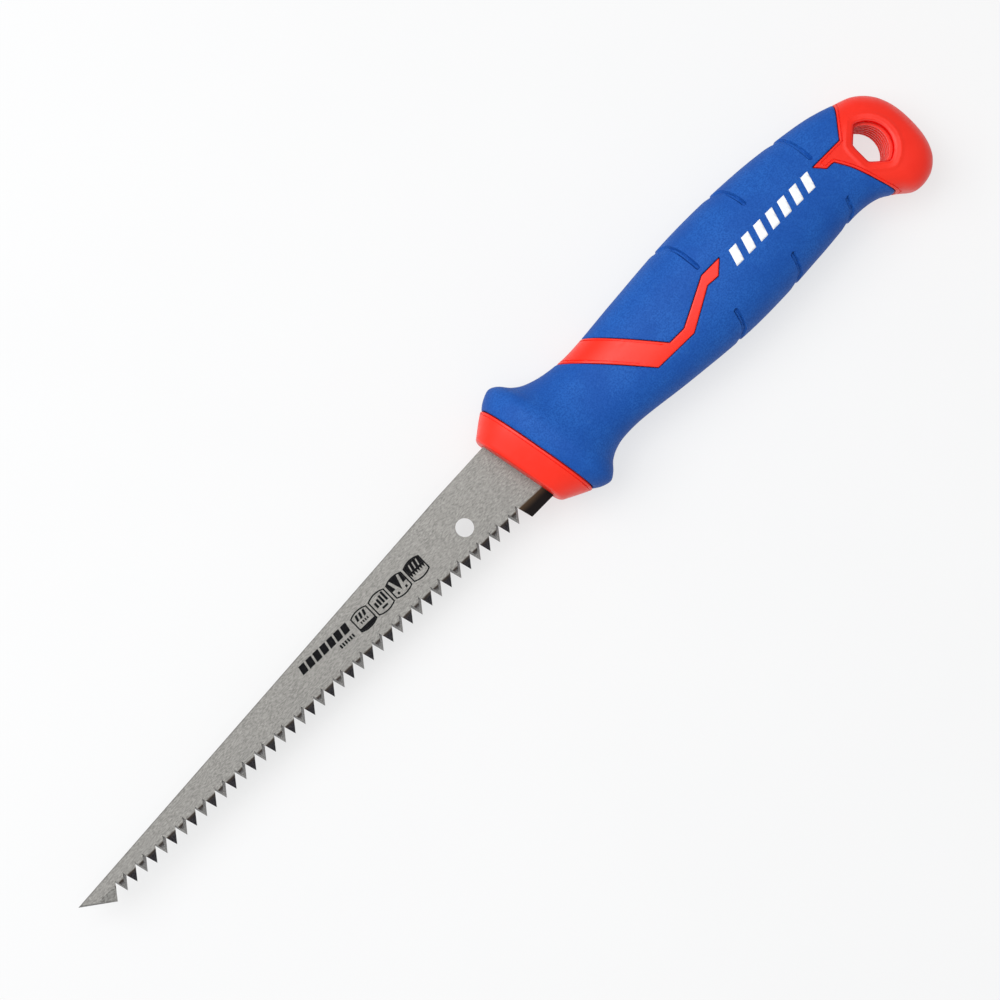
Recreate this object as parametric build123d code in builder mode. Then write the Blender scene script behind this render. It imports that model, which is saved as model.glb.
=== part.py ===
"""Drywall saw (jab saw): a fixed tapered blade moulded into a two-material handle.

Frame: origin at the centre of the round hole in the blade, on the blade's mid-plane.
+X runs towards the butt of the handle, +Y towards the spine (the teeth point to -Y),
+Z leaves the printed face of the blade. All values are millimetres and degrees.
"""
from build123d import *
import math
import os

os.makedirs("parts", exist_ok=True)

# ------------------------------------------------------------------ blade sizes
PITCH = 25.4 / 7                  # seven teeth to the inch
GULLETS = 42                      # nose corner, 41 teeth, then the plain heel
BLADE_THICKNESS = 1.5
HOLE_DIAMETER = 5.2

NOSE_POINT = (-146.2, 1.9)
NOSE_ANGLE = 36.5                 # nose edge below the X axis
NOSE_CORNER_Y = -6.0              # the nose edge is drawn down to here
NOSE_BEVEL = 0.45
SPINE_KNEE = (0.0, 11.2)          # the spine runs straight from the nose to here
SPINE_AT_COLLAR = (19.0, 12.0)
HEEL = (14.5, -11.1)              # corner where the plain heel strip starts

TIP_LINE_FALL = 2.25              # the tooth tips drop towards the handle
LAST_TIP = (11.2, -10.4)
FLANK_FRONT = 14                  # tooth flank facing the nose, off square
FLANK_REAR = 34                   # tooth flank facing the handle, off square
FRONT_GRIND = 0.65                # slant of each flank across the blade thickness
REAR_GRIND = 0.9
CUTTER_BELOW = 2.5                # gullet cutters reach this far past the tips
STRIP_WIDTH = 3.6                 # ground strip above the tooth tips
STRIP_ANGLE = 6.5                 # the strip tapers this much on each face

SHOULDER_X = 30.0                 # the full-height blade ends here, in the collar
TANG_TOP, TANG_BOTTOM = 8.5, -7.5
TANG_END_X = 112.0
TANG_CORNER = 4.0
TANG_HOLE_DIAMETER = 6.0
TANG_HOLE_XS = (52.0, 92.0)

# ----------------------------------------------------------------- handle sizes
# Each row holds the silhouette point on the spine side (x, y), the one on the tooth
# side (x, y), half the thickness there, and the squareness (2 is an ellipse).
COLLAR_FRONT = (18.8, 14.4, 24.0, -13.6, 9.0, 2.8)
COLLAR_REAR = (25.6, 19.3, 32.0, -17.6, 12.4, 2.6)
HANDLE_ROWS = (
    COLLAR_FRONT,
    COLLAR_REAR,
    (30.9, 22.0, 37.1, -19.6, 13.6, 2.4),
    (33.4, 21.1, 39.4, -18.4, 13.3, 2.4),
    (36.2, 17.9, 41.6, -16.2, 12.6, 2.4),
    (39.5, 15.8, 44.2, -14.7, 11.8, 2.4),
    (45.5, 14.1, 48.2, -13.7, 11.1, 2.4),
    (54.0, 13.4, 55.5, -13.7, 10.8, 2.4),
    (72.1, 14.8, 72.1, -15.8, 11.9, 2.4),
    (92.7, 16.3, 92.7, -17.8, 13.3, 2.4),
    (107.0, 16.5, 107.0, -17.95, 13.5, 2.4),
    (123.8, 15.7, 123.8, -17.1, 12.5, 2.5),
    (138.0, 14.0, 138.0, -16.2, 10.9, 2.6),
    (146.0, 12.7, 146.0, -17.3, 10.0, 2.7),
    (151.0, 11.4, 151.0, -20.1, 9.6, 2.8),
    (155.4, 9.9, 155.4, -23.3, 9.4, 2.8),
    (160.4, 8.0, 160.4, -23.1, 8.9, 2.8),
    (164.3, 4.6, 164.3, -20.6, 7.6, 2.7),
    (166.6, 0.5, 166.6, -16.9, 5.4, 2.5),
    (167.6, -3.6, 167.6, -12.6, 3.1, 2.3),
    (167.9, -6.4, 167.9, -10.0, 1.4, 2.2),
)
SECTION_POINTS = 12
SECTION_STEP = 3.0
CORNER_ROUND = 1.2                # front edge of the collar
RUBBER_SKIN = 2.5
UNDER_RUBBER_X = (22.5, 156.0)    # spine-side X range of the core under the rubber
COLUMN_HALF = 20.0                # half length of the columns cut along Z

STRIPE_OUTLINE = (
    (48.6, 15.0),
    (67.4, -6.9),
    (80.8, -7.2),
    (92.4, -0.6),
    (96.3, -0.9),
    (100.0, 2.4),
    (93.2, 2.4),
    (79.7, -4.4),
    (74.2, -4.4),
    (58.2, 15.0),
)
STRIPE_HEEL_ROUND = 1.0
TAIL_UPPER_EDGE = ((147.5, 1.6), (151.0, 5.6), (156.0, 10.8))
TONGUE = ((136.6, 1.6), (139.2, -1.3), (141.0, -1.3))
TAIL_LOWER_EDGE = ((142.0, -1.5), (144.9, -6.6), (148.3, -15.2), (150.8, -20.5))
TAIL_BEHIND = ((175.0, 10.8), (175.0, -30.0), (150.8, -30.0))

GROOVE_DEPTH = 0.5
GROOVE_MOUTH = 2.8                # width where a groove crosses the silhouette
GROOVE_END = 0.8                  # width where it dies out on the side
GROOVE_SWEEP = 4.9                # how far it leans towards the butt
GROOVE_BEND = (0.75, 0.45)        # shares of the sweep and the reach at its bend
TOP_GROOVES = ((89.9, 16.2), (112.1, 16.4), (134.3, 14.7))
TOP_REACH = 11.0                  # how far they run down from the spine side
LOW_GROOVES = ((89.2, -17.8), (111.1, -17.9), (133.5, -16.3))
LOW_REACH = 7.5

HANG_CENTRE = (151.8, -5.1)       # centre of the round side of the hanging hole
HANG_RADIUS = 7.2
HANG_FLAT_X = 149.3
HANG_FLAT_HALF = 3.0              # half length of the flat
HANG_LEAN = 41                    # slope of the two straight shoulders
HANG_CORNER_ROUND = 1.0
HANG_RIM_ROUND = 1.5
HANG_RIM_ABOVE = 5.0              # the mouths lie further than this off the mid-plane


# -------------------------------------------------------------------- the blade
def strip_plane():
    """Plane with its origin on the last tooth tip and its X axis along the tips."""
    fall = math.radians(TIP_LINE_FALL)
    return Plane(
        origin=(*LAST_TIP, 0),
        x_dir=(math.cos(fall), -math.sin(fall), 0),
        z_dir=(0, 0, 1),
    )


def gullet_outline(plane, start, front_shift, rear_shift):
    """Gullet between the tooth tipped at `start` and the next one, on `plane`.

    The shifts move the two flanks away from the middle of the gullet.
    """
    rear_slope = math.tan(math.radians(FLANK_REAR))
    front_slope = math.tan(math.radians(FLANK_FRONT))
    left = start - rear_shift
    right = start + PITCH + front_shift
    depth = (right - left) / (rear_slope + front_slope)
    with BuildSketch(plane) as outline:
        with BuildLine():
            Polyline(
                (left - CUTTER_BELOW * rear_slope, -CUTTER_BELOW),
                (left + depth * rear_slope, depth),
                (right + CUTTER_BELOW * front_slope, -CUTTER_BELOW),
                close=True,
            )
        make_face()
    return outline.sketch


def gullet(index):
    """Cutter for one gullet; neighbouring teeth are ground from opposite faces."""
    start = (index - GULLETS + 1) * PITCH
    ground_from_above = index % 2 == 1
    outlines = []
    for side in (-1, 1):
        # The outlines lie one blade thickness off the mid-plane, so each slanted
        # flank is carried past the face of the blade.
        toward = side if ground_from_above else -side
        rear_shift = REAR_GRIND * (0.5 + toward)
        front_shift = FRONT_GRIND * (0.5 - toward)
        plane = strip_plane().offset(side * BLADE_THICKNESS)
        outlines.append(gullet_outline(plane, start, front_shift, rear_shift))
    return loft(sections=outlines, ruled=True, mode=Mode.PRIVATE)


nose_run = (NOSE_POINT[1] - NOSE_CORNER_Y) / math.tan(math.radians(NOSE_ANGLE))
nose_corner = (NOSE_POINT[0] + nose_run, NOSE_CORNER_Y)
nose_edge = Axis((*NOSE_POINT, 0), (nose_run, NOSE_CORNER_Y - NOSE_POINT[1], 0))
spine_slope = (SPINE_AT_COLLAR[1] - SPINE_KNEE[1]) / SPINE_AT_COLLAR[0]
shoulder_top = (SHOULDER_X, SPINE_KNEE[1] + SHOULDER_X * spine_slope)
tip_line = strip_plane()
wedge_start = Plane(
    origin=tip_line.origin - tip_line.x_dir * GULLETS * PITCH,
    x_dir=tip_line.y_dir,
    z_dir=tip_line.x_dir,
)
wedge_drop = STRIP_WIDTH + 2 * CUTTER_BELOW
wedge_depth = wedge_drop * math.tan(math.radians(STRIP_ANGLE))

with BuildPart() as blade:
    with BuildSketch():
        with BuildLine():
            Polyline(
                NOSE_POINT,
                SPINE_KNEE,
                shoulder_top,
                (SHOULDER_X, HEEL[1]),
                HEEL,
                nose_corner,
                close=True,
            )
        make_face()
    extrude(amount=BLADE_THICKNESS / 2, both=True)
    chamfer(blade.edges().filter_by(nose_edge), NOSE_BEVEL)
    # Ground strip: a long wedge comes off each face, down to the tooth edge.
    for side in (-1, 1):
        face = side * BLADE_THICKNESS / 2
        with BuildSketch(wedge_start):
            with BuildLine():
                Polyline(
                    (STRIP_WIDTH, face),
                    (STRIP_WIDTH - wedge_drop, face - side * wedge_depth),
                    (STRIP_WIDTH - wedge_drop, 2 * face),
                    (STRIP_WIDTH, 2 * face),
                    close=True,
                )
            make_face()
        extrude(amount=GULLETS * PITCH + SHOULDER_X, mode=Mode.SUBTRACT)
    for index in range(GULLETS):
        add(gullet(index), mode=Mode.SUBTRACT)
    # Tang: a narrower tongue with two holes that the handle is moulded through.
    with BuildSketch():
        with BuildLine():
            Polyline(
                (SHOULDER_X - 1, TANG_BOTTOM),
                (TANG_END_X, TANG_BOTTOM),
                (TANG_END_X, TANG_TOP),
                (SHOULDER_X - 1, TANG_TOP),
                close=True,
            )
        tang_face = make_face()
        fillet(tang_face.vertices().group_by(Axis.X)[-1], TANG_CORNER)
    extrude(amount=BLADE_THICKNESS / 2, both=True)
    with Locations([(x, (TANG_TOP + TANG_BOTTOM) / 2, 0) for x in TANG_HOLE_XS]):
        Cylinder(TANG_HOLE_DIAMETER / 2, 2 * BLADE_THICKNESS, mode=Mode.SUBTRACT)
    Cylinder(HOLE_DIAMETER / 2, 2 * BLADE_THICKNESS, mode=Mode.SUBTRACT)

blade.part.label = "blade"
export_step(blade.part, "parts/blade.step")


# ------------------------------------------------------------- the handle's shape
def row_gap(row, following):
    """Mean distance the two silhouette points move from one row to the next."""
    return (math.dist(row[:2], following[:2]) + math.dist(row[2:4], following[2:4])) / 2


def blended_rows(rows):
    """Fill in rows about SECTION_STEP apart with a smooth cubic blend."""
    along = [0.0]
    for row, following in zip(rows, rows[1:]):
        along.append(along[-1] + row_gap(row, following))
    last = len(rows) - 1
    slopes = []
    for index in range(len(rows)):
        before, after = max(index - 1, 0), min(index + 1, last)
        run = along[after] - along[before]
        slopes.append([(b - a) / run for a, b in zip(rows[before], rows[after])])
    blended = []
    for index in range(last):
        span = along[index + 1] - along[index]
        steps = max(1, round(span / SECTION_STEP))
        pairs = list(zip(rows[index], rows[index + 1], slopes[index], slopes[index + 1]))
        for step in range(steps):
            s = step / steps
            blended.append(tuple(
                (1 + 2 * s) * (1 - s) ** 2 * a
                + s ** 2 * (3 - 2 * s) * b
                + span * s * (1 - s) * ((1 - s) * slope_a - s * slope_b)
                for a, b, slope_a, slope_b in pairs
            ))
    return blended + [rows[-1]]


def handle_section(row, inset):
    """Superelliptic outline through one row, drawn `inset` inside the surface."""
    top_x, top_y, low_x, low_y, half_thickness, squareness = row
    rise = Vector(top_x - low_x, top_y - low_y, 0)
    plane = Plane(
        origin=((top_x + low_x) / 2, (top_y + low_y) / 2, 0),
        x_dir=rise,
        z_dir=(rise.Y, -rise.X, 0),
    )
    half_height = rise.length / 2 - inset
    half_depth = half_thickness - inset
    outline = []
    for step in range(SECTION_POINTS):
        angle = 2 * math.pi * step / SECTION_POINTS
        c, s = math.cos(angle), math.sin(angle)
        outline.append((
            math.copysign(abs(c) ** (2 / squareness), c) * half_height,
            math.copysign(abs(s) ** (2 / squareness), s) * half_depth,
        ))
    with BuildSketch(plane) as section:
        with BuildLine():
            Spline(*outline, periodic=True)
        make_face()
    return section.sketch


def handle_loft(rows, inset):
    """Smooth body through the rows, `inset` inside the handle's outer surface."""
    return loft(sections=[handle_section(row, inset) for row in rows], mode=Mode.PRIVATE)


def collar_outline():
    """Everything ahead of the slanted line where the collar meets the rubber."""
    top_x, top_y, low_x, low_y = COLLAR_REAR[:4]
    lean_x, lean_y = (top_x - low_x) / 2, (top_y - low_y) / 2
    with BuildSketch(Plane.XY.offset(-COLUMN_HALF)) as outline:
        with BuildLine():
            Polyline(
                (top_x + lean_x, top_y + lean_y),
                (low_x - lean_x, low_y - lean_y),
                (0, low_y - lean_y),
                (0, top_y + lean_y),
                close=True,
            )
        make_face()
    return outline.sketch


def stripe_outline():
    """Red stripe: a slanted band over the spine that turns into a pointed tick."""
    with BuildSketch(Plane.XY.offset(-COLUMN_HALF)) as outline:
        with BuildLine():
            Polyline(*STRIPE_OUTLINE, close=True)
        make_face()
        fillet(outline.vertices().sort_by(Axis.Y)[:2], STRIPE_HEEL_ROUND)
    return outline.sketch


def tail_outline():
    """Everything behind the rubber: the red tail and the tongue that runs forward."""
    with BuildSketch(Plane.XY.offset(-COLUMN_HALF)) as outline:
        with BuildLine():
            upper = Spline(*TAIL_UPPER_EDGE)
            lower = Spline(*TAIL_LOWER_EDGE)
            Polyline(upper @ 0, *TONGUE, lower @ 0)
            Polyline(upper @ 1, *TAIL_BEHIND, lower @ 1)
        make_face()
    return outline.sketch


def hang_outline():
    """D-shaped hanging hole: round towards the butt, flat towards the grip."""
    far = 2 * HANG_RADIUS
    climb = HANG_FLAT_HALF + far * math.tan(math.radians(HANG_LEAN))
    centre_y = HANG_CENTRE[1]
    with BuildSketch(Plane.XY.offset(-COLUMN_HALF)) as outline:
        with Locations(HANG_CENTRE):
            Circle(HANG_RADIUS)
        with BuildLine():
            Polyline(
                (HANG_FLAT_X, centre_y + HANG_FLAT_HALF),
                (HANG_FLAT_X + far, centre_y + climb),
                (HANG_FLAT_X + far, centre_y - climb),
                (HANG_FLAT_X, centre_y - HANG_FLAT_HALF),
                close=True,
            )
        make_face(mode=Mode.INTERSECT)
        fillet(outline.vertices(), HANG_CORNER_ROUND)
    return outline.sketch


def groove_outline(mouth, reach, side):
    """Finger groove seen along Z: wide at the silhouette, swept towards the butt."""
    mouth_x, mouth_y = mouth
    sweep_share, reach_share = GROOVE_BEND
    with BuildSketch(Plane.XY.offset(-COLUMN_HALF)) as outline:
        with BuildLine():
            edges = []
            for edge in (-1, 1):
                edges.append(ThreePointArc(
                    (mouth_x + edge * GROOVE_MOUTH / 2, mouth_y + side),
                    (mouth_x + GROOVE_SWEEP * sweep_share + edge * GROOVE_END,
                     mouth_y - side * reach * reach_share),
                    (mouth_x + GROOVE_SWEEP + edge * GROOVE_END / 2, mouth_y - side * reach),
                ))
            Line(edges[0] @ 0, edges[1] @ 0)
            Line(edges[0] @ 1, edges[1] @ 1)
        make_face()
    return outline.sketch


all_rows = blended_rows(HANDLE_ROWS)
under_rows = [row for row in all_rows if UNDER_RUBBER_X[0] < row[0] < UNDER_RUBBER_X[1]]

with BuildPart() as handle_body:
    add(handle_loft(all_rows, 0))
    fillet(handle_body.faces().sort_by(Axis.X)[0].edges(), CORNER_ROUND)

with BuildPart() as under_rubber:
    add(handle_loft(under_rows, RUBBER_SKIN))

with BuildPart() as land_columns:
    add(collar_outline())
    add(stripe_outline())
    add(tail_outline())
    extrude(amount=2 * COLUMN_HALF)

with BuildPart() as groove_cutters:
    for mouth in TOP_GROOVES:
        add(groove_outline(mouth, TOP_REACH, 1))
    for mouth in LOW_GROOVES:
        add(groove_outline(mouth, LOW_REACH, -1))
    extrude(amount=2 * COLUMN_HALF)
    add(handle_loft(all_rows, GROOVE_DEPTH), mode=Mode.SUBTRACT)

# ---------------------------------------------------------------- the rubber grip
with BuildPart() as grip:
    add(handle_body.part)
    add(under_rubber.part, mode=Mode.SUBTRACT)
    add(land_columns.part, mode=Mode.SUBTRACT)
    add(groove_cutters.part, mode=Mode.SUBTRACT)

grip.part.label = "grip"
export_step(grip.part, "parts/grip.step")


# ------------------------------------------------------------------- the red core
def hang_rim(edges):
    """Edges round the two mouths of the hanging hole, leaving out its parting edges."""
    reach = HANG_RADIUS + 1
    rim = []
    for edge in edges:
        middle = edge.center()
        beside_hole = math.dist((middle.X, middle.Y), HANG_CENTRE) < reach
        if beside_hole and abs(middle.Z) > HANG_RIM_ABOVE:
            rim.append(edge)
    return rim


with BuildPart() as core:
    add(land_columns.part)
    add(handle_body.part, mode=Mode.INTERSECT)
    add(under_rubber.part)
    add(blade.part, mode=Mode.SUBTRACT)
    add(hang_outline())
    extrude(amount=2 * COLUMN_HALF, mode=Mode.SUBTRACT)
    fillet(hang_rim(core.edges()), HANG_RIM_ROUND)

core.part.label = "core"
export_step(core.part, "parts/core.step")
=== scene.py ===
"""Looks of the drywall saw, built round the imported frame.

The frame's axes: +X towards the butt of the handle, +Y towards the spine of the blade,
+Z out of the printed face. Shapes are worked out in millimetres and turned into metres
when a mesh is made.
"""

import math

import bmesh
import bpy
import numpy as np
from mathutils import Matrix, Vector


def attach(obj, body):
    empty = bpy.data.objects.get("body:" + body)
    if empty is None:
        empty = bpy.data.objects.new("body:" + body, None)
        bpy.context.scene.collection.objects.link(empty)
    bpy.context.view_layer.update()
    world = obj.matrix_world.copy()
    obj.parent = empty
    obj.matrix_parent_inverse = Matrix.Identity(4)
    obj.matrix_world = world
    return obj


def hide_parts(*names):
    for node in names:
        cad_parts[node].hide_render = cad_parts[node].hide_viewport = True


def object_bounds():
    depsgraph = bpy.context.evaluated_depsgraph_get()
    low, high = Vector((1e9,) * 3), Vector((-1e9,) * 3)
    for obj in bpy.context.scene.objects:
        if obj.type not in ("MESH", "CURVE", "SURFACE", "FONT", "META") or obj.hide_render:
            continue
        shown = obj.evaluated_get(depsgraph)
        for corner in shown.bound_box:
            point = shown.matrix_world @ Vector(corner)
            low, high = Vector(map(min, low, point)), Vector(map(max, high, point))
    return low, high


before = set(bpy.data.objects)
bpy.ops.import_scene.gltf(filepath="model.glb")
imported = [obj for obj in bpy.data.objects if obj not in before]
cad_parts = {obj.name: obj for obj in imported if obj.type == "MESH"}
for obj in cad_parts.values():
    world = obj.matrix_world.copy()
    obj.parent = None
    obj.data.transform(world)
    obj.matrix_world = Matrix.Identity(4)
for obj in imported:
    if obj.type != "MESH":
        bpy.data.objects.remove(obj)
cad_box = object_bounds()

MM = 0.001
TINY = 1e-6
MERGE_REACH = 1e-4                # joins the two halves of a mirrored mesh
SHARP_EDGE = math.radians(38)     # edges that turn by more than this stay sharp

# ------------------------------------------------------------------ handle sizes
# Each row holds the silhouette point on the spine side (x, y), the one on the tooth
# side (x, y), half the thickness there, and the squareness (2 is an ellipse).
HANDLE_ROWS = np.array((
    (18.8, 14.4, 24.0, -13.6, 9.0, 2.8),
    (25.6, 19.3, 32.0, -17.6, 12.4, 2.6),
    (30.9, 22.0, 37.1, -19.6, 13.6, 2.4),
    (33.4, 21.1, 39.4, -18.4, 13.3, 2.4),
    (36.2, 17.9, 41.6, -16.2, 12.6, 2.4),
    (39.5, 15.8, 44.2, -14.7, 11.8, 2.4),
    (45.5, 14.1, 48.2, -13.7, 11.1, 2.4),
    (54.0, 13.4, 55.5, -13.7, 10.8, 2.4),
    (72.1, 14.8, 72.1, -15.8, 11.9, 2.4),
    (92.7, 16.3, 92.7, -17.8, 13.3, 2.4),
    (107.0, 16.5, 107.0, -17.95, 13.5, 2.4),
    (123.8, 15.7, 123.8, -17.1, 12.5, 2.5),
    (138.0, 14.0, 138.0, -16.2, 10.9, 2.6),
    (146.0, 12.7, 146.0, -17.3, 10.0, 2.7),
    (151.0, 11.4, 151.0, -20.1, 9.6, 2.8),
    (155.4, 9.9, 155.4, -23.3, 9.4, 2.8),
    (160.4, 8.0, 160.4, -23.1, 8.9, 2.8),
    (164.3, 4.6, 164.3, -20.6, 7.6, 2.7),
    (166.6, 0.5, 166.6, -16.9, 5.4, 2.5),
    (167.6, -3.6, 167.6, -12.6, 3.1, 2.3),
    (167.9, -6.4, 167.9, -10.0, 1.4, 2.2),
))
RING_STEP = 0.7
RING_QUADS = 68                   # quads round the half of a ring above the mid-plane
COLLAR_ROUND = 0.9
ROUND_STEPS = 5
RUBBER_SKIN = 2.5
UNDER_GAP = 0.05                  # keeps the core clear of the inside of the rubber

SLOT_CLEAR = 0.25                 # gap round the blade where it enters the collar
SLOT_DEPTH = 2.5
SLOT_TOP, SLOT_BOTTOM = 11.8, -11.7   # the blade's edges where it enters the collar
SLOT_SQUARENESS = 10
BLADE_HALF = 0.75                 # half the thickness of the blade

STRIPE_OUTLINE = (
    (48.6, 15.0),
    (67.4, -6.9),
    (80.8, -7.2),
    (92.4, -0.6),
    (96.3, -0.9),
    (100.0, 2.4),
    (93.2, 2.4),
    (79.7, -4.4),
    (74.2, -4.4),
    (58.2, 15.0),
)
TAIL_UPPER_EDGE = ((147.5, 1.6), (151.0, 5.6), (156.0, 10.8))
TAIL_BEHIND = ((175.0, 30.0), (175.0, -30.0), (152.5, -30.0))
TAIL_LOWER_EDGE = ((150.8, -20.5), (148.3, -15.2), (144.9, -6.6), (142.0, -1.5))
TONGUE = ((141.0, -1.3), (139.2, -1.3), (136.6, 1.6))
CORNER_REACH = 1.5                # the mesh is made finer this near to a sharp corner
CORNER_CUTS = 2
SNAP = 0.02                       # vertices this near to a cut are taken to lie on it

# Finger grooves: each starts at a mouth on the silhouette and turns to run inwards.
GROOVE_DEPTHS = (0.35, 0.62)      # at the mid-plane and on the faces
GROOVE_DEEPENS = (1.0, 5.0)       # heights between which the depth changes
GROOVE_MOUTH = 3.0
GROOVE_END = 1.5
GROOVE_WALL = 0.17                # width of a groove's sloping side
GROOVE_NOTCH = (0.17, 0.3, 0.46)  # start, bottom and end of the nick at the side's foot
GROOVE_NOTCH_DEPTH = 0.3
GROOVE_ELBOW = ((0.0, 0.0), (2.2, 0.9), (3.3, 2.6), (3.8, 5.0))   # towards butt, inwards
GROOVE_LEAD_IN = (-1.0, -1.5)     # start of a groove, outside the silhouette
GROOVE_NARROWS_BY = GROOVE_ELBOW[2][1]   # how far inwards it has its final width
GROOVE_SWEEP = 4.1                # how far towards the butt it has turned at its end
# Each row holds a mouth (x, y) and how far inwards the groove runs.
TOP_GROOVES = ((90.0, 16.2, 12.0), (111.7, 16.4, 9.0), (133.9, 14.7, 11.4))
LOW_GROOVES = ((89.3, -17.8, 7.4), (111.4, -17.9, 7.2), (133.7, -16.3, 5.6))

# The hanging hole: round towards the butt, with a flat and two leaning shoulders opposite.
HANG_CENTRE = (151.8, -5.1)
HANG_RADIUS = 7.2
HANG_FLAT_X = 149.3
HANG_FLAT_HALF = 3.0
HANG_LEAN = math.radians(41)
HANG_POINTS = 96
HANG_RIM_ROUND = 1.5
WALL_RIDGES = (6.4, 4.4, 2.4, 0.4, -1.6, -3.6, -5.6)   # tops of the ridges in the hole
RIDGE_RISE = (-0.45, 0.5)         # how far the wall closes in between and on the ridges
RIDGE_HEIGHT = 0.7
RIDGE_SLOPE = 0.12                # height over which a ridge's side slopes


# --------------------------------------------------------------- the handle's shape
def row_gaps(rows):
    """Mean distance the two silhouette points move from each row to the next."""
    move = np.diff(rows, axis=0)
    return (np.hypot(move[:, 0], move[:, 1]) + np.hypot(move[:, 2], move[:, 3])) / 2


ROW_ALONG = np.concatenate(([0.0], np.cumsum(row_gaps(HANDLE_ROWS))))


def row_at(distance):
    """The row this far along the handle, on a smooth cubic blend between rows."""
    last = len(ROW_ALONG) - 1
    index = min(int(np.searchsorted(ROW_ALONG, distance, side="right")) - 1, last - 1)
    span = ROW_ALONG[index + 1] - ROW_ALONG[index]
    s = (distance - ROW_ALONG[index]) / span
    slopes = []
    for at in (index, index + 1):
        before, after = max(at - 1, 0), min(at + 1, last)
        run = ROW_ALONG[after] - ROW_ALONG[before]
        slopes.append((HANDLE_ROWS[after] - HANDLE_ROWS[before]) / run)
    return (
        (1 + 2 * s) * (1 - s) ** 2 * HANDLE_ROWS[index]
        + s ** 2 * (3 - 2 * s) * HANDLE_ROWS[index + 1]
        + span * s * (1 - s) * ((1 - s) * slopes[0] - s * slopes[1])
    )


def section_frame(row):
    """Centre, unit rise and half height of the leaning section through a row."""
    top, low = Vector((row[0], row[1], 0)), Vector((row[2], row[3], 0))
    return (top + low) / 2, (top - low).normalized(), (top - low).length / 2


def half_ring(row, inset=0.0):
    """Superelliptic half ring above the mid-plane, from the spine side down."""
    centre, rise, half_height = section_frame(row)
    power = 2 / row[5]
    points = []
    for step in range(RING_QUADS + 1):
        angle = math.pi * step / RING_QUADS
        c, s = math.cos(angle), math.sin(angle)
        up = math.copysign(abs(c) ** power, c) * (half_height - inset)
        out = abs(s) ** power * (row[4] - inset)
        if step in (0, RING_QUADS):
            out = 0.0
        points.append(centre + rise * up + Vector((0, 0, out)))
    return points


def slot_rings():
    """Two half rings round the blade: at the collar's face and at the slot's floor."""
    row = row_at(0.0)
    centre, rise, _ = section_frame(row)
    forward = Vector((-rise.y, rise.x, 0))
    inward = forward if forward.x > 0 else -forward
    power = 2 / SLOT_SQUARENESS
    face = []
    for step, point in enumerate(half_ring(row)):
        along = (point - centre).dot(rise)
        along = min(max(along, SLOT_BOTTOM - SLOT_CLEAR), SLOT_TOP + SLOT_CLEAR)
        out = (BLADE_HALF + SLOT_CLEAR) * math.sin(math.pi * step / RING_QUADS) ** power
        if step in (0, RING_QUADS):
            out = 0.0
        face.append(centre + rise * along + Vector((0, 0, out)))
    return face, [point + inward * SLOT_DEPTH for point in face]


def half_handle():
    """Upper half of the handle's skin: slot, collar face, rounded edge and body."""
    slot_face, slot_floor = slot_rings()
    rings = [slot_floor, slot_face]
    for step in range(ROUND_STEPS):
        angle = math.radians(90 * (1 - step / ROUND_STEPS))
        behind = COLLAR_ROUND * (1 - math.sin(angle))
        inset = COLLAR_ROUND * (1 - math.cos(angle))
        rings.append(half_ring(row_at(behind), inset))
    steps = round((ROW_ALONG[-1] - COLLAR_ROUND) / RING_STEP)
    for distance in np.linspace(COLLAR_ROUND, ROW_ALONG[-1], steps + 1):
        rings.append(half_ring(row_at(distance)))
    mesh = bmesh.new()
    grid = [[mesh.verts.new(point) for point in ring] for ring in rings]
    for ring, following in zip(grid, grid[1:]):
        for step in range(RING_QUADS):
            mesh.faces.new(
                (ring[step + 1], following[step + 1], following[step], ring[step])
            )
    mesh.faces.new(reversed(grid[0]))
    mesh.faces.new(grid[-1])
    mesh.normal_update()
    return mesh


# ------------------------------------------------------- fields over the side view
def inside_outline(points, x, y):
    """Distance to a closed outline, positive inside it and negative outside."""
    inside = np.zeros(x.shape, bool)
    nearest = np.full(x.shape, np.inf)
    for (ax, ay), (bx, by) in zip(points, points[1:] + points[:1]):
        ex, ey = bx - ax, by - ay
        share = np.clip(((x - ax) * ex + (y - ay) * ey) / (ex * ex + ey * ey), 0, 1)
        nearest = np.minimum(nearest, np.hypot(x - ax - share * ex, y - ay - share * ey))
        if ey != 0:
            crossed = ((ay > y) != (by > y)) & (x < ax + (y - ay) * ex / ey)
            inside = inside ^ crossed
    return np.where(inside, nearest, -nearest)


def smooth_run(points, steps=6):
    """Points along a smooth curve through the given ones."""
    ends = [2 * np.array(points[0]) - points[1], 2 * np.array(points[-1]) - points[-2]]
    knots = [ends[0], *map(np.array, points), ends[1]]
    run = []
    for before, a, b, after in zip(knots, knots[1:], knots[2:], knots[3:]):
        for step in range(steps):
            t = step / steps
            run.append(tuple(
                a + t / 2 * (b - before)
                + t ** 2 * (before - 2.5 * a + 2 * b - after / 2)
                + t ** 3 * (1.5 * (a - b) + (after - before) / 2)
            ))
    return run + [tuple(points[-1])]


TAIL_OUTLINE = (
    smooth_run(TAIL_UPPER_EDGE) + list(TAIL_BEHIND) + smooth_run(TAIL_LOWER_EDGE)
    + list(TONGUE)
)


def collar_field(x, y):
    """Distance ahead of the slanted line where the collar meets the rubber."""
    centre, rise, _ = section_frame(HANDLE_ROWS[1])
    return (x - centre.x) * -rise.y + (y - centre.y) * rise.x


def red_field(x, y):
    """Distance into the red lands (collar, stripe and tail); negative on rubber."""
    stripe = inside_outline(list(STRIPE_OUTLINE), x, y)
    tail = inside_outline(TAIL_OUTLINE, x, y)
    return np.maximum(np.maximum(collar_field(x, y), stripe), tail)


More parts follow.
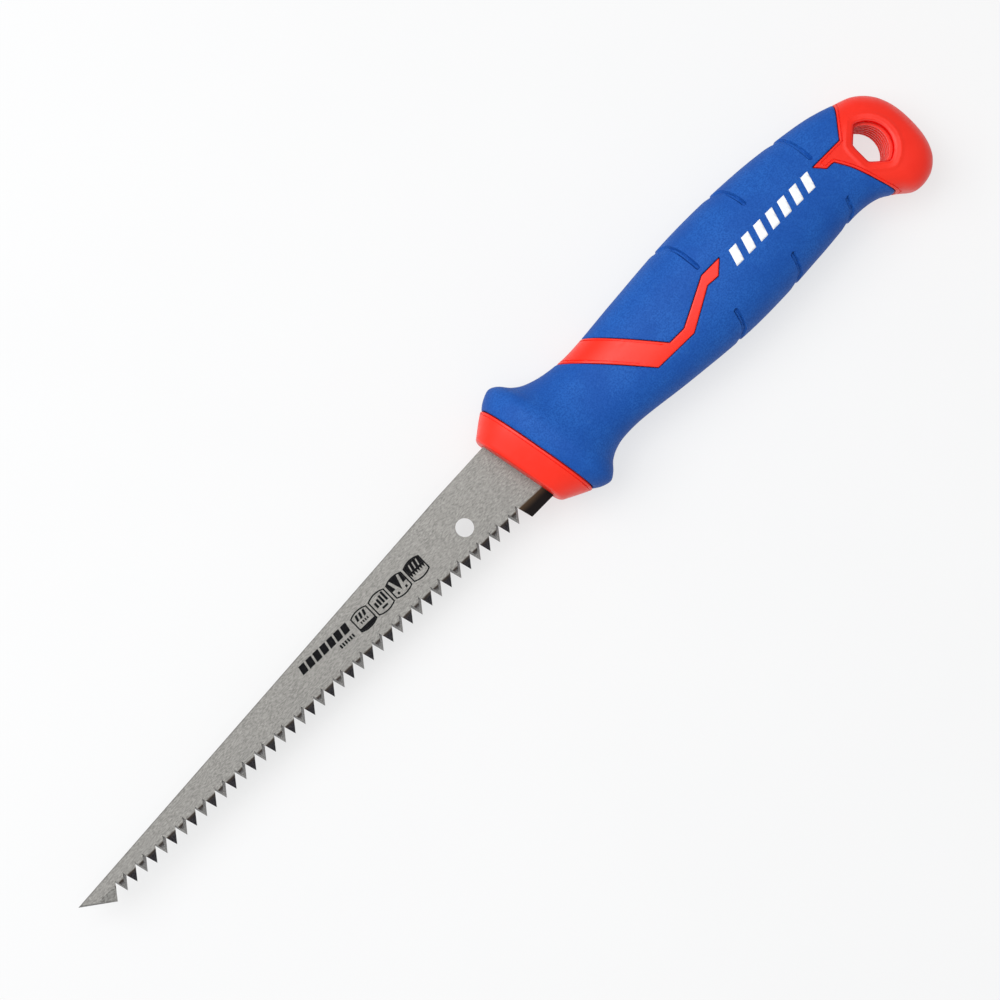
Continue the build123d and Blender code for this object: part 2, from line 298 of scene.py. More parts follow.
def groove_outline(mouth_x, mouth_y, reach):
    """Finger groove: wide at the silhouette, narrow and straight at its inner end."""
    inwards = -math.copysign(1.0, mouth_y)
    path = smooth_run(GROOVE_ELBOW + ((GROOVE_SWEEP, reach),))
    path.insert(0, GROOVE_LEAD_IN)
    low_edge, high_edge = [], []
    for along, inward in path:
        share = min(max(inward / GROOVE_NARROWS_BY, 0.0), 1.0)
        half = (GROOVE_MOUTH + (GROOVE_END - GROOVE_MOUTH) * share) / 2
        low_edge.append((mouth_x + along - half, mouth_y + inwards * inward))
        high_edge.append((mouth_x + along + half, mouth_y + inwards * inward))
    return low_edge + high_edge[::-1]


GROOVES = [groove_outline(*groove) for groove in TOP_GROOVES + LOW_GROOVES]


def groove_field(x, y):
    """Distance into the nearest finger groove; negative between grooves."""
    return np.max([inside_outline(outline, x, y) for outline in GROOVES], axis=0)


def hang_outline():
    """D-shaped hole as a closed run: round towards the butt, flat towards the grip."""
    cx, cy = HANG_CENTRE
    lean = math.tan(HANG_LEAN)
    points = []
    for step in range(HANG_POINTS):
        angle = 2 * math.pi * step / HANG_POINTS
        c, s = math.cos(angle), math.sin(angle)
        reach = HANG_RADIUS
        if c < 0:
            reach = min(reach, (HANG_FLAT_X - cx) / c)
        for side in (-1, 1):
            # Shoulder: side * (y - cy) = HANG_FLAT_HALF + lean * (x - HANG_FLAT_X)
            closing = side * s - lean * c
            if closing > TINY:
                reach = min(reach, (HANG_FLAT_HALF + lean * (cx - HANG_FLAT_X)) / closing)
        points.append((cx + reach * c, cy + reach * s))
    return points


HANG_OUTLINE = hang_outline()


def hang_field(x, y):
    """Distance outside the hanging hole; negative inside it."""
    return -inside_outline(HANG_OUTLINE, x, y)


# ----------------------------------------------------------------------- mesh tools
# Faces, edges and vertices are gathered as the keys of dictionaries, which keep their
# order, so that every run gives the same mesh.
def field_values(mesh, field):
    """The field at every vertex of the mesh, as a dictionary."""
    places = np.array([vert.co[:2] for vert in mesh.verts])
    return dict(zip(mesh.verts, field(places[:, 0], places[:, 1])))


def divide(face, value):
    """Split a face until none of its parts has corners on both sides of zero."""
    corners = list(face.verts)
    signs = [value[vert] for vert in corners]
    if max(signs) <= 0 or min(signs) >= 0:
        return
    first = next(
        i for i, sign in enumerate(signs) if sign < 0 <= signs[i - 1]
    )
    last = first
    while signs[(last + 1) % len(signs)] < 0:
        last += 1
    start, end = corners[first - 1], corners[(last + 1) % len(corners)]
    if start is end:
        return
    part, _ = bmesh.utils.face_split(face, start, end)
    divide(face, value)
    divide(part, value)


def cut(mesh, field, level=0.0):
    """Add edges to the mesh along the line where the field is at this level."""
    value = field_values(mesh, field)
    for vert in value:
        value[vert] -= level
        if abs(value[vert]) < SNAP:
            value[vert] = 0.0
    crossed = [e for e in mesh.edges if value[e.verts[0]] * value[e.verts[1]] < 0]
    near = dict.fromkeys(face for edge in crossed for face in edge.link_faces)
    for edge in crossed:
        start, end = edge.verts
        share = value[start] / (value[start] - value[end])
        _, vert = bmesh.utils.edge_split(edge, start, share)
        value[vert] = 0.0
    for face in near:
        divide(face, value)


def refine_corners(mesh, corners):
    """Divide the faces near these places finely, so that sharp corners stay sharp."""
    chosen = {}
    for face in mesh.faces:
        middle = face.calc_center_median()
        for corner in corners:
            if math.dist(middle[:2], corner) < CORNER_REACH:
                chosen.update(dict.fromkeys(face.edges))
    bmesh.ops.subdivide_edges(mesh, edges=list(chosen), cuts=CORNER_CUTS, use_grid_fill=True)


def skin_normals(mesh):
    """Outward unit normal of every vertex, level with the mid-plane where it lies in it."""
    mesh.normal_update()
    normals = {}
    for vert in mesh.verts:
        normal = vert.normal.copy()
        if abs(vert.co.z) < TINY:
            normal.z = 0
            normal.normalize()
        normals[vert] = normal
    return normals


def face_value(face, value):
    """Mean of the values at a face's corners."""
    return sum(value[vert] for vert in face.verts) / len(face.verts)


def mirror_down(mesh):
    """Complete a half mesh below the mid-plane."""
    bmesh.ops.mirror(
        mesh,
        geom=mesh.verts[:] + mesh.edges[:] + mesh.faces[:],
        axis="Z",
        merge_dist=MERGE_REACH,
    )


def make_piece(mesh, name, material):
    """Turn a mesh in millimetres into a named piece that rides on the saw."""
    bmesh.ops.recalc_face_normals(mesh, faces=mesh.faces)
    for face in mesh.faces:
        face.smooth = True
    for edge in mesh.edges:
        edge.smooth = edge.calc_face_angle(0) < SHARP_EDGE
    data = bpy.data.meshes.new(name)
    mesh.to_mesh(data)
    mesh.free()
    data.transform(Matrix.Scale(MM, 4))
    data.materials.append(material)
    piece = bpy.data.objects.new(name, data)
    bpy.context.scene.collection.objects.link(piece)
    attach(piece, "root")
    return piece


def ease(value, low, high):
    """Smooth step from 0 at low to 1 at high."""
    share = min(max((value - low) / (high - low), 0.0), 1.0)
    return share * share * (3 - 2 * share)


# ------------------------------------------------------------------------ materials
# Materials work in metres. A colour is linear red, green and blue, then opacity.
def set_input(tree, socket, value):
    """Link the socket to the value if that is a socket, or else store the value."""
    if isinstance(value, bpy.types.NodeSocket):
        tree.links.new(value, socket)
    else:
        socket.default_value = value


def node(tree, kind, **inputs):
    """New node of this kind; the inputs are values or sockets to link from."""
    made = tree.nodes.new(kind)
    for name, value in inputs.items():
        set_input(tree, made.inputs[name.replace("_", " ")], value)
    return made


def math_node(tree, operation, a, b=0.0, c=0.0):
    """Result of an operation on one, two or three values or sockets."""
    made = tree.nodes.new("ShaderNodeMath")
    made.operation = operation
    for socket, value in zip(made.inputs, (a, b, c)):
        set_input(tree, socket, value)
    return made.outputs[0]


def scaled(tree, value, factor, offset):
    """The value times a factor, plus an offset."""
    return math_node(tree, "MULTIPLY_ADD", value, factor, offset)


def span_node(tree, value, low, high, to_low=0.0, to_high=1.0):
    """Smooth map of a value from one range to another."""
    made = node(
        tree, "ShaderNodeMapRange",
        Value=value, From_Min=low, From_Max=high, To_Min=to_low, To_Max=to_high,
    )
    made.interpolation_type = "SMOOTHSTEP"
    return made.outputs["Result"]


def mix_node(tree, share, a, b):
    """Colour between a and b."""
    made = tree.nodes.new("ShaderNodeMix")
    made.data_type = "RGBA"
    for name, kind, value in (("Factor", "VALUE", share), ("A", "RGBA", a), ("B", "RGBA", b)):
        socket = next(s for s in made.inputs if (s.name, s.type) == (name, kind))
        set_input(tree, socket, value)
    return next(s for s in made.outputs if s.type == "RGBA")


def noise_node(tree, place, scale, detail, stretch=(1, 1, 1)):
    """Grey noise with features about 1 / scale metres across."""
    moved = node(tree, "ShaderNodeMapping", Vector=place, Scale=stretch)
    made = node(
        tree, "ShaderNodeTexNoise",
        Vector=moved.outputs[0], Scale=scale, Detail=detail, Roughness=0.55,
    )
    return made.outputs["Fac"]


def bump_node(tree, height, distance, strength):
    """Normal from a height between 0 and 1 that stands for this many metres."""
    made = node(tree, "ShaderNodeBump", Height=height, Distance=distance, Strength=strength)
    return made.outputs["Normal"]


def upward_part(tree, kind):
    """How far the surface looks up (1) or down (-1), by this kind of normal."""
    normal = tree.nodes.new("ShaderNodeNewGeometry").outputs[kind]
    return node(tree, "ShaderNodeSeparateXYZ", Vector=normal).outputs["Z"]


def new_material(name, **fixed):
    """Material with these fixed values; returns it, its tree, shader and place."""
    made = bpy.data.materials.new(name)
    made.use_nodes = True
    tree = made.node_tree
    shader = tree.nodes["Principled BSDF"]
    for socket, value in fixed.items():
        shader.inputs[socket.replace("_", " ")].default_value = value
    place = tree.nodes.new("ShaderNodeTexCoord").outputs["Object"]
    return made, tree, shader, place


def wire(tree, shader, **sockets):
    """Link sockets into the shader by name."""
    for name, socket in sockets.items():
        tree.links.new(socket, shader.inputs[name.replace("_", " ")])


RED_TONES = ((0.84, 0.018, 0.005, 1), (0.90, 0.025, 0.008, 1))
# Pale pink painted reflection of the bright floor on the ridges in the hole's wall.
RIDGE_REFLECTION_RED = (0.82, 0.20, 0.185, 1)
# Deep red painted shade for the mouth of the hole, where the light falls off.
MOUTH_SHADE_RED = (0.80, 0.003, 0.001, 1)
RED_SHINE = 0.40                      # specular level of the red plastic
MOUTH_SHINE = -0.34                   # what the mouth of the hole adds to it
HOLE_REACHES = (0.0088, 0.0080)       # distance from the hole's centre: off and on its wall
WALL_LEVELS = (0.9, 0.6)              # upward part of the normal: off and on the wall
MOUTH_BLEND = 0.2                     # height, in mm, over which the mouth's painted shade sets in


def hole_wall_mask(tree, place):
    """1 on the wall of the hanging hole, 0 on the surfaces round it."""
    across = node(tree, "ShaderNodeVectorMath", Vector=place)
    across.operation = "MULTIPLY_ADD"
    across.inputs[1].default_value = (1, 1, 0)
    across.inputs[2].default_value = (-HANG_CENTRE[0] * MM, -HANG_CENTRE[1] * MM, 0)
    reach = node(tree, "ShaderNodeVectorMath", Vector=across.outputs["Vector"])
    reach.operation = "LENGTH"
    level = math_node(tree, "ABSOLUTE", upward_part(tree, "Normal"))
    within = span_node(tree, reach.outputs["Value"], *HOLE_REACHES)
    return math_node(tree, "MULTIPLY", within, span_node(tree, level, *WALL_LEVELS))


def off_ridges_mask(tree, place):
    """0 at the height of the ridges in the hanging hole, 1 above and below them."""
    height = node(tree, "ShaderNodeSeparateXYZ", Vector=place).outputs["Z"]
    middle = (WALL_RIDGES[0] + WALL_RIDGES[-1] - RIDGE_HEIGHT) / 2
    half_run = WALL_RIDGES[0] - middle
    offset = math_node(tree, "SUBTRACT", height, middle * MM)
    return span_node(
        tree, math_node(tree, "ABSOLUTE", offset),
        half_run * MM, (half_run + MOUTH_BLEND) * MM,
    )


def red_plastic():
    """Semi-gloss moulded plastic; the hole has a painted shade of deeper red at its mouth and
    a painted pale reflection on its ridges.
    """
    made, tree, shader, place = new_material("red_plastic", IOR=1.49)
    clouds = noise_node(tree, place, scale=45, detail=4)
    grain = noise_node(tree, place, scale=2600, detail=2)
    scuffs = noise_node(tree, place, scale=260, detail=5, stretch=(1, 3, 1))
    in_hole = hole_wall_mask(tree, place)
    # Painted shade mask: the hole's wall above and below the ridges.
    mouth_shade = math_node(tree, "MULTIPLY", in_hole, off_ridges_mask(tree, place))
    colour = mix_node(tree, span_node(tree, clouds, 0.3, 0.7), *RED_TONES)
    # Painted reflection: the hole's wall is turned pale pink.
    colour = mix_node(tree, in_hole, colour, RIDGE_REFLECTION_RED)
    # Painted shade: the mouth of the hole is turned a deeper red.
    colour = mix_node(tree, mouth_shade, colour, MOUTH_SHADE_RED)
    relief = scaled(tree, scuffs, 0.5, grain)
    wire(
        tree, shader, Base_Color=colour,
        Roughness=scaled(tree, span_node(tree, scuffs, 0.45, 0.75), 0.1, 0.4),
        Specular_IOR_Level=scaled(tree, mouth_shade, MOUTH_SHINE, RED_SHINE),
        Normal=bump_node(tree, relief, distance=0.00002, strength=0.5),
    )
    return made


BLUE_TONES = ((0.011, 0.084, 0.375, 1), (0.016, 0.108, 0.43, 1))
BLUE_GRAIN = (0.007, 0.068, 0.32, 1)
BLUE_DUST = (0.035, 0.15, 0.47, 1)


def blue_rubber():
    """Matt soft rubber: fine spark-eroded grain with slightly paler worn places."""
    made, tree, shader, place = new_material(
        "blue_rubber", IOR=1.5, Specular_IOR_Level=0.14,
    )
    clouds = noise_node(tree, place, scale=110, detail=5)
    grain = noise_node(tree, place, scale=2300, detail=2)
    dust = noise_node(tree, place, scale=900, detail=6)
    colour = mix_node(tree, span_node(tree, clouds, 0.35, 0.65), *BLUE_TONES)
    colour = mix_node(tree, span_node(tree, grain, 0.4, 0.62, 0.0, 0.8), colour, BLUE_GRAIN)
    colour = mix_node(tree, span_node(tree, dust, 0.55, 0.8, 0.0, 0.35), colour, BLUE_DUST)
    wire(
        tree, shader, Base_Color=colour, Roughness=scaled(tree, grain, 0.2, 0.5),
        Normal=bump_node(tree, grain, distance=0.00006, strength=0.6),
    )
    return made


# Places on the frame's blade. Its tooth line falls towards the handle.
TIP_LINE_FALL = math.radians(2.25)
LAST_TIP = (0.0112, -0.0104)
TOOTH_PAIR = 2 * 0.0254 / 7 * math.cos(TIP_LINE_FALL)
PAIR_SHIFT = 0.25                     # share of a pair; puts its start in a gullet
HEEL_START, HEEL_BLEND = 0.0122, 0.0003
NOSE_TOOTH_END, NOSE_BLEND = -0.1352, 0.0004   # the first tooth isn't blackened
SPINE_NOSE = (-0.1462, 0.0019)
SPINE_KNEE = (0.0, 0.0112)
SPINE_SHADE_WIDTH = 0.0004                   # width of the painted shade line along the spine edge

TIP_WOBBLE = 0.0004                   # unevenness of the heights above the tooth tips

# Heights above the tooth tips between which a change of colour runs.
STRIP_TOP = (0.0041, 0.0036)
TEETH_BROWNING = (0.0028, 0.0040)
HEEL_BROWNING = (0.0016, 0.0042)
BARED_TOP = (0.0036, 0.0022)

SCRATCH_STRETCH = (1100, 7000, 7000)
PIT_STRETCH = (2400, 5200, 5200)
POINTWARD_DARKENING = (0.02, -0.08)               # X between which the steel's colour darkens towards the point
ROLLED_TONES = ((0.132, 0.128, 0.120, 1), (0.292, 0.284, 0.267, 1))
PIT_TONE = (0.140, 0.136, 0.130, 1)
SMUDGE_TONE = (0.190, 0.186, 0.178, 1)
# Dark tone mixed in more and more towards the blade's point.
POINTWARD_DARK_TONE = (0.01, 0.01, 0.012, 1)
# Painted shade along the spine edge.
SPINE_SHADE_TONE = (0.07, 0.068, 0.066, 1)
OXIDE_TONES = ((0.014, 0.013, 0.015, 1), (0.045, 0.043, 0.046, 1))
BROWN_TONE = (0.050, 0.039, 0.031, 1)
HEEL_TONES = ((0.014, 0.012, 0.012, 1), (0.085, 0.055, 0.034, 1))
BARED_TONES = ((0.12, 0.115, 0.11, 1), (0.27, 0.265, 0.258, 1))
NOSE_TONES = ((0.10, 0.096, 0.088, 1), (0.30, 0.295, 0.28, 1))
FLANK_TONES = ((0.16, 0.155, 0.150, 1), (0.40, 0.392, 0.384, 1))
SHEARED_TONE = (0.13, 0.125, 0.12, 1)


def height_above_tips(tree, place, x, y):
    """Height above the line of the tooth tips, with a slight wobble."""
    fall = math.tan(TIP_LINE_FALL)
    drop = scaled(tree, x, fall, -LAST_TIP[1] - LAST_TIP[0] * fall)
    wobble = noise_node(tree, place, scale=300, detail=3)
    return scaled(tree, wobble, TIP_WOBBLE, math_node(tree, "ADD", y, drop))


def depth_below_spine(tree, x, y):
    """Depth below the straight line of the spine."""
    slope = (SPINE_KNEE[1] - SPINE_NOSE[1]) / (SPINE_KNEE[0] - SPINE_NOSE[0])
    return math_node(tree, "SUBTRACT", scaled(tree, x, slope, SPINE_KNEE[1]), y)


def rolled_colour(tree, place, x, y, scratches, pits):
    """The flat steel: scratches along it, pits, faint smudges, darker towards the point, and
    painted shade along the spine.
    """
    smudge = noise_node(tree, place, scale=55, detail=4)
    below_spine = depth_below_spine(tree, x, y)
    colour = mix_node(tree, span_node(tree, scratches, 0.3, 0.7), *ROLLED_TONES)
    for share, tone in (
        (span_node(tree, pits, 0.5, 0.72, 0.0, 0.6), PIT_TONE),
        (span_node(tree, smudge, 0.5, 0.8, 0.0, 0.3), SMUDGE_TONE),
        (span_node(tree, x, *POINTWARD_DARKENING, 0.0, 0.16), POINTWARD_DARK_TONE),
        # Painted shade: a dark line along the spine edge.
        (span_node(tree, below_spine, 0.0, SPINE_SHADE_WIDTH, 0.7, 0.0), SPINE_SHADE_TONE),
    ):
        colour = mix_node(tree, share, colour, tone)
    return colour


def bared_mask(tree, x, above_tips, upward):
    """1 low on every second tooth, which is ground from the printed face."""
    pair = math_node(tree, "DIVIDE", math_node(tree, "SUBTRACT", x, LAST_TIP[0]), TOOTH_PAIR)
    turn = math_node(tree, "FRACT", math_node(tree, "ADD", pair, PAIR_SHIFT))
    first_half = math_node(tree, "LESS_THAN", turn, 0.5)
    printed_side = math_node(tree, "GREATER_THAN", upward, 0.0)
    on_tooth = math_node(tree, "MULTIPLY", first_half, printed_side)
    return math_node(tree, "MULTIPLY", on_tooth, span_node(tree, above_tips, *BARED_TOP))


def strip_colour(tree, x, above_tips, upward, scratches, mottle):
    """The hardened strip: black along the teeth, browner over the plain heel."""
    teeth = mix_node(tree, mottle, *OXIDE_TONES)
    teeth = mix_node(tree, span_node(tree, above_tips, *TEETH_BROWNING), teeth, BROWN_TONE)
    bared = bared_mask(tree, x, above_tips, upward)
    teeth = mix_node(tree, bared, teeth, mix_node(tree, mottle, *BARED_TONES))
    heel = mix_node(tree, span_node(tree, above_tips, *HEEL_BROWNING), *HEEL_TONES)
    at_heel = span_node(tree, x, HEEL_START, HEEL_START + HEEL_BLEND)
    nose = mix_node(tree, span_node(tree, scratches, 0.35, 0.6), *NOSE_TONES)
    at_nose = span_node(tree, x, NOSE_TOOTH_END, NOSE_TOOTH_END - NOSE_BLEND)
    return mix_node(tree, at_nose, mix_node(tree, at_heel, teeth, heel), nose)


def blade_steel():
    """Satin steel with a blackened tooth strip, paler ground flanks, dark sheared edges and
    painted shade along the spine.
    """
    made, tree, shader, place = new_material("blade_steel", Metallic=1.0)
    parts = node(tree, "ShaderNodeSeparateXYZ", Vector=place)
    x, y = parts.outputs["X"], parts.outputs["Y"]
    upward = upward_part(tree, "True Normal")
    level = math_node(tree, "ABSOLUTE", upward)
    scratches = noise_node(tree, place, scale=1, detail=3, stretch=SCRATCH_STRETCH)
    pits = noise_node(tree, place, scale=1, detail=2, stretch=PIT_STRETCH)
    mottle = span_node(tree, pits, 0.35, 0.65)
    above_tips = height_above_tips(tree, place, x, y)
    in_strip = span_node(tree, above_tips, *STRIP_TOP)
    colour = mix_node(
        tree, in_strip, rolled_colour(tree, place, x, y, scratches, pits),
        strip_colour(tree, x, above_tips, upward, scratches, mottle),
    )
    # Slanting faces are the ground flanks; upright ones are the sheared edges.
    slanting = math_node(
        tree, "MULTIPLY",
        span_node(tree, level, 0.15, 0.25), span_node(tree, level, 0.95, 0.9),
    )
    colour = mix_node(tree, slanting, colour, mix_node(tree, mottle, *FLANK_TONES))
    colour = mix_node(tree, span_node(tree, level, 0.12, 0.04), colour, SHEARED_TONE)
    wire(
        tree, shader, Base_Color=colour,
        Roughness=scaled(tree, in_strip, 0.1, scaled(tree, pits, 0.12, 0.40)),
        Normal=bump_node(
            tree, scaled(tree, pits, 0.6, scratches), distance=0.00002, strength=0.5
        ),
    )
    return made


def ink(name, colour, worn):
    """Printed ink: a thin matt layer with a slightly uneven, worn tone."""
    made, tree, shader, place = new_material(name, Specular_IOR_Level=0.04)
    speckle = noise_node(tree, place, scale=2400, detail=4)
    wire(
        tree, shader, Roughness=scaled(tree, speckle, 0.2, 0.5),
        Base_Color=mix_node(tree, span_node(tree, speckle, 0.5, 0.8), colour, worn),
        Normal=bump_node(tree, speckle, distance=0.00001, strength=0.4),
    )
    return made


FLOOR_TONES = ((0.235, 0.235, 0.237, 1), (0.255, 0.255, 0.255, 1))


def pale_floor():
    """Smooth pale card with a barely visible mottle."""
    made, tree, shader, place = new_material(
        "pale_floor", Specular_IOR_Level=0.1, Emission_Strength=0.66,
        Emission_Color=(1.0, 1.0, 1.0, 1),
    )
    mottle = noise_node(tree, place, scale=12, detail=4)
    wire(
        tree, shader, Base_Color=mix_node(tree, mottle, *FLOOR_TONES),
        Roughness=scaled(tree, mottle, 0.1, 0.6),
    )
    return made


RED = red_plastic()
BLUE = blue_rubber()
STEEL = blade_steel()
BLACK_INK = ink("black_ink", (0.006, 0.006, 0.007, 1), (0.02, 0.02, 0.02, 1))
WHITE_INK = ink("white_ink", (0.86, 0.87, 0.88, 1), (0.72, 0.75, 0.80, 1))

# ------------------------------------------------------------- the handle's pieces
SHUT_OFF = (0.52, 0.58, 0.76, 0.82)   # edges and floor of the groove inside a land
SHUT_OFF_DEPTH = 0.32
STRIPE_HEEL_X, STRIPE_HEEL_Y = 46.6, -3.0   # where the stripe turns into its narrow tick
STRIPE_TICK_X, STRIPE_END_X = 78.4, 102.0
LAND_ROLL = 0.22                      # radius of a land's edge
UNDER_RUBBER = -0.03                  # below this red field the core is sunk under the rubber
EDGE_GAP = 0.17                       # open joint between a land and the rubber
EDGE_ROLL = 0.4                       # radius of the rubber's edge beside it
COLLAR_SINK = 0.4                     # how far the rubber falls towards the collar
COLLAR_SINK_REACH = 2.6

# Levels of the red field, and then of the hole's field, along which edges are cut.
LAND_LINES = SHUT_OFF[::-1] + (LAND_ROLL, 0.06, 0.0, -0.05)
RUBBER_LINES = (-EDGE_GAP, -EDGE_GAP - 0.06, -EDGE_GAP - 0.18, -EDGE_GAP - EDGE_ROLL)
RIM_LINES = (0.0, 0.1, 0.3, 0.6, 1.0, 1.5, 1.8, 2.2, 2.6, 3.2)
RIM_BEAD = (1.5, 2.2, 3.2)        # start, crest and end of the low ring round the rim
RIM_BEAD_HEIGHT = 0.2


def cut_skin():
    """Upper half of the handle's skin, with edges along every line between red and blue."""
    mesh = half_handle()
    refine_corners(mesh, STRIPE_OUTLINE[1:9] + TONGUE + TAIL_UPPER_EDGE[:1])
    for line in LAND_LINES + RUBBER_LINES:
        cut(mesh, red_field, line)
    return mesh


def edge_drop(inside, radius):
    """Fall of a rounded edge at this distance in from it."""
    near = min(max(radius - inside, 0.0), radius)
    return radius - math.sqrt(radius ** 2 - near ** 2)


def land_relief(depth, x, y):
    """Height of the red lands: round edges, and a narrow shut-off groove near them."""
    before, floor_start, floor_end, after = SHUT_OFF
    # The stripe's tick is too narrow for the groove.
    past_heel = STRIPE_HEEL_X < x and y < STRIPE_HEEL_Y
    on_tick = x < STRIPE_END_X and (past_heel or STRIPE_TICK_X < x)
    share = 0.0
    if before < depth < after and not on_tick:
        share = min(
            (depth - before) / (floor_start - before),
            (after - depth) / (after - floor_end), 1,
        )
    return -SHUT_OFF_DEPTH * share - edge_drop(depth, LAND_ROLL)


def rubber_relief(depth, ahead):
    """Height of the rubber: it sinks towards the collar and its edges are rounded."""
    sink = max(1 + min(ahead, 0.0) / COLLAR_SINK_REACH, 0.0) ** 2 * COLLAR_SINK
    return -edge_drop(-depth - EDGE_GAP, EDGE_ROLL) - sink


def make_grip(skin):
    """Rubber skin: everything outside the red lands, with the finger grooves cut in."""
    mesh = skin.copy()
    for line in (0.0,) + GROOVE_NOTCH:
        cut(mesh, groove_field, line)
    red = field_values(mesh, red_field)
    gone = [face for face in mesh.faces if face_value(face, red) > -EDGE_GAP]
    ahead = field_values(mesh, collar_field)
    groove = field_values(mesh, groove_field)
    normals = skin_normals(mesh)
    shallow, full = GROOVE_DEPTHS
    for vert in mesh.verts:
        height = rubber_relief(red[vert], ahead[vert])
        deepening = ease(vert.co.z, *GROOVE_DEEPENS)
        depth = shallow + (full - shallow) * deepening
        height -= depth * ease(groove[vert], 0.0, GROOVE_WALL)
        notch = ease(groove[vert], *GROOVE_NOTCH[:2]) - ease(groove[vert], *GROOVE_NOTCH[1:])
        height -= GROOVE_NOTCH_DEPTH * deepening * notch
        vert.co += normals[vert] * height
    bmesh.ops.delete(mesh, geom=gone, context="FACES")
    mirror_down(mesh)
    piece = make_piece(mesh, "rubber_grip", BLUE)
    skin_layer = piece.modifiers.new("skin", "SOLIDIFY")
    skin_layer.thickness = RUBBER_SKIN * MM
    skin_layer.offset = -1
    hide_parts("grip")


def wall_steps():
    """Height and closing-in of the loops round the hole, between its two rims."""
    outer, inner = RIDGE_RISE
    steps = []
    for top in WALL_RIDGES:
        foot = top - RIDGE_HEIGHT
        steps += [(top, outer), (top - RIDGE_SLOPE, inner)]
        steps += [(foot + RIDGE_SLOPE, inner), (foot, outer)]
    return steps


def line_hole(mesh):
    """Join the hole's two rims by a wall that carries small mould ridges."""
    rim = [edge for edge in mesh.edges if edge.is_boundary]
    rim_verts = dict.fromkeys(vert for edge in rim for vert in edge.verts)
    below = {tuple(vert.co.xy): vert for vert in rim_verts if vert.co.z < 0}
    centre = Vector((*HANG_CENTRE, 0))
    columns = {}
    for vert in rim_verts:
        if vert.co.z < 0:
            continue
        across = vert.co - centre
        column = [vert]
        for height, closing in wall_steps():
            place = vert.co - across * (closing / HANG_RADIUS)
            place.z = height
            column.append(mesh.verts.new(place))
        columns[vert] = column + [below[tuple(vert.co.xy)]]
    for edge in rim:
        if edge.verts[0] not in columns:
            continue
        left, right = (columns[vert] for vert in edge.verts)
        for a, b, c, d in zip(left, right, right[1:], left[1:]):
            mesh.faces.new((a, b, c, d))


def make_core(skin):
    """Red core: lands at the surface, sunk below the rubber, hanging hole through it."""
    mesh = skin.copy()
    for line in RIM_LINES:
        cut(mesh, hang_field, line)
    red = field_values(mesh, red_field)
    outside = field_values(mesh, hang_field)
    normals = skin_normals(mesh)
    gone = [face for face in mesh.faces if face_value(face, outside) < 0]
    for vert in mesh.verts:
        if red[vert] < UNDER_RUBBER:
            vert.co -= normals[vert] * (RUBBER_SKIN + UNDER_GAP)
            continue
        vert.co += normals[vert] * land_relief(red[vert], vert.co.x, vert.co.y)
        if outside[vert] < HANG_RIM_ROUND:
            vert.co.z -= edge_drop(outside[vert], HANG_RIM_ROUND)
        else:
            bead = ease(outside[vert], *RIM_BEAD[:2]) - ease(outside[vert], *RIM_BEAD[1:])
            vert.co += normals[vert] * RIM_BEAD_HEIGHT * bead
    bmesh.ops.delete(mesh, geom=gone, context="FACES")
    mirror_down(mesh)
    line_hole(mesh)
    piece = make_piece(mesh, "moulded_core", RED)
    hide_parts("core")


# ------------------------------------------------------------------ printed marks
MARK_COUNT = 7
MARK_X, MARK_Y = 101.8, -2.7      # lower left corner of the row of marks on the grip
MARK_WIDTH, MARK_HEIGHT, MARK_PITCH = 2.7, 4.7, 4.75
MARK_LEAN = 1.5
INK_THICKNESS = 0.02


def mark_height(x, y):
    """Height above the feet of the marks."""
    return y - MARK_Y


def mark_along(x, y):
    """Distance along the row of marks, measured in step with their lean."""
    return x - MARK_X - MARK_LEAN / MARK_HEIGHT * mark_height(x, y)


def make_grip_print(skin):
    """White slanted marks on the printed side of the grip, lying on the rubber."""
    mesh = skin.copy()
    for level in (0.0, MARK_HEIGHT):
        cut(mesh, mark_height, level)
    for index in range(MARK_COUNT):
        for level in (index * MARK_PITCH, index * MARK_PITCH + MARK_WIDTH):
            cut(mesh, mark_along, level)
    normals = skin_normals(mesh)
    for vert in mesh.verts:
        vert.co += normals[vert] * INK_THICKNESS
    row_length = (MARK_COUNT - 1) * MARK_PITCH + MARK_WIDTH
    gone = []
    for face in mesh.faces:
        x, y, _ = face.calc_center_median()
        along = mark_along(x, y)
        in_row = 0 < mark_height(x, y) < MARK_HEIGHT and 0 < along < row_length
        if not in_row or along % MARK_PITCH > MARK_WIDTH:
            gone.append(face)
    bmesh.ops.delete(mesh, geom=gone, context="FACES")
    piece = make_piece(mesh, "grip_print", WHITE_INK)
    layer = piece.modifiers.new("layer", "SOLIDIFY")
    layer.thickness = INK_THICKNESS * MM
    layer.offset = -1


def slab(mesh, outline):
    """Add a closed layer of ink with this outline to the blade's printed face."""
    floor = [mesh.verts.new((x, y, BLADE_HALF)) for x, y in outline]
    roof = [mesh.verts.new((x, y, BLADE_HALF + INK_THICKNESS)) for x, y in outline]
    mesh.faces.new(floor[::-1])
    mesh.faces.new(roof)
    for index in range(-1, len(outline) - 1):
        after = index + 1
        mesh.faces.new((floor[index], floor[after], roof[after], roof[index]))


def frame_slab(mesh, outer, inner):
    """Add a layer of ink between two outlines that have equally many points."""
    loops = [
        [mesh.verts.new((x, y, height)) for x, y in outline]
        for outline, height in (
            (outer, BLADE_HALF), (outer, BLADE_HALF + INK_THICKNESS),
            (inner, BLADE_HALF + INK_THICKNESS), (inner, BLADE_HALF),
        )
    ]
    for loop, following in zip(loops, loops[1:] + loops[:1]):
        for index in range(-1, len(outer) - 1):
            after = index + 1
            mesh.faces.new((loop[index], loop[after], following[after], following[index]))


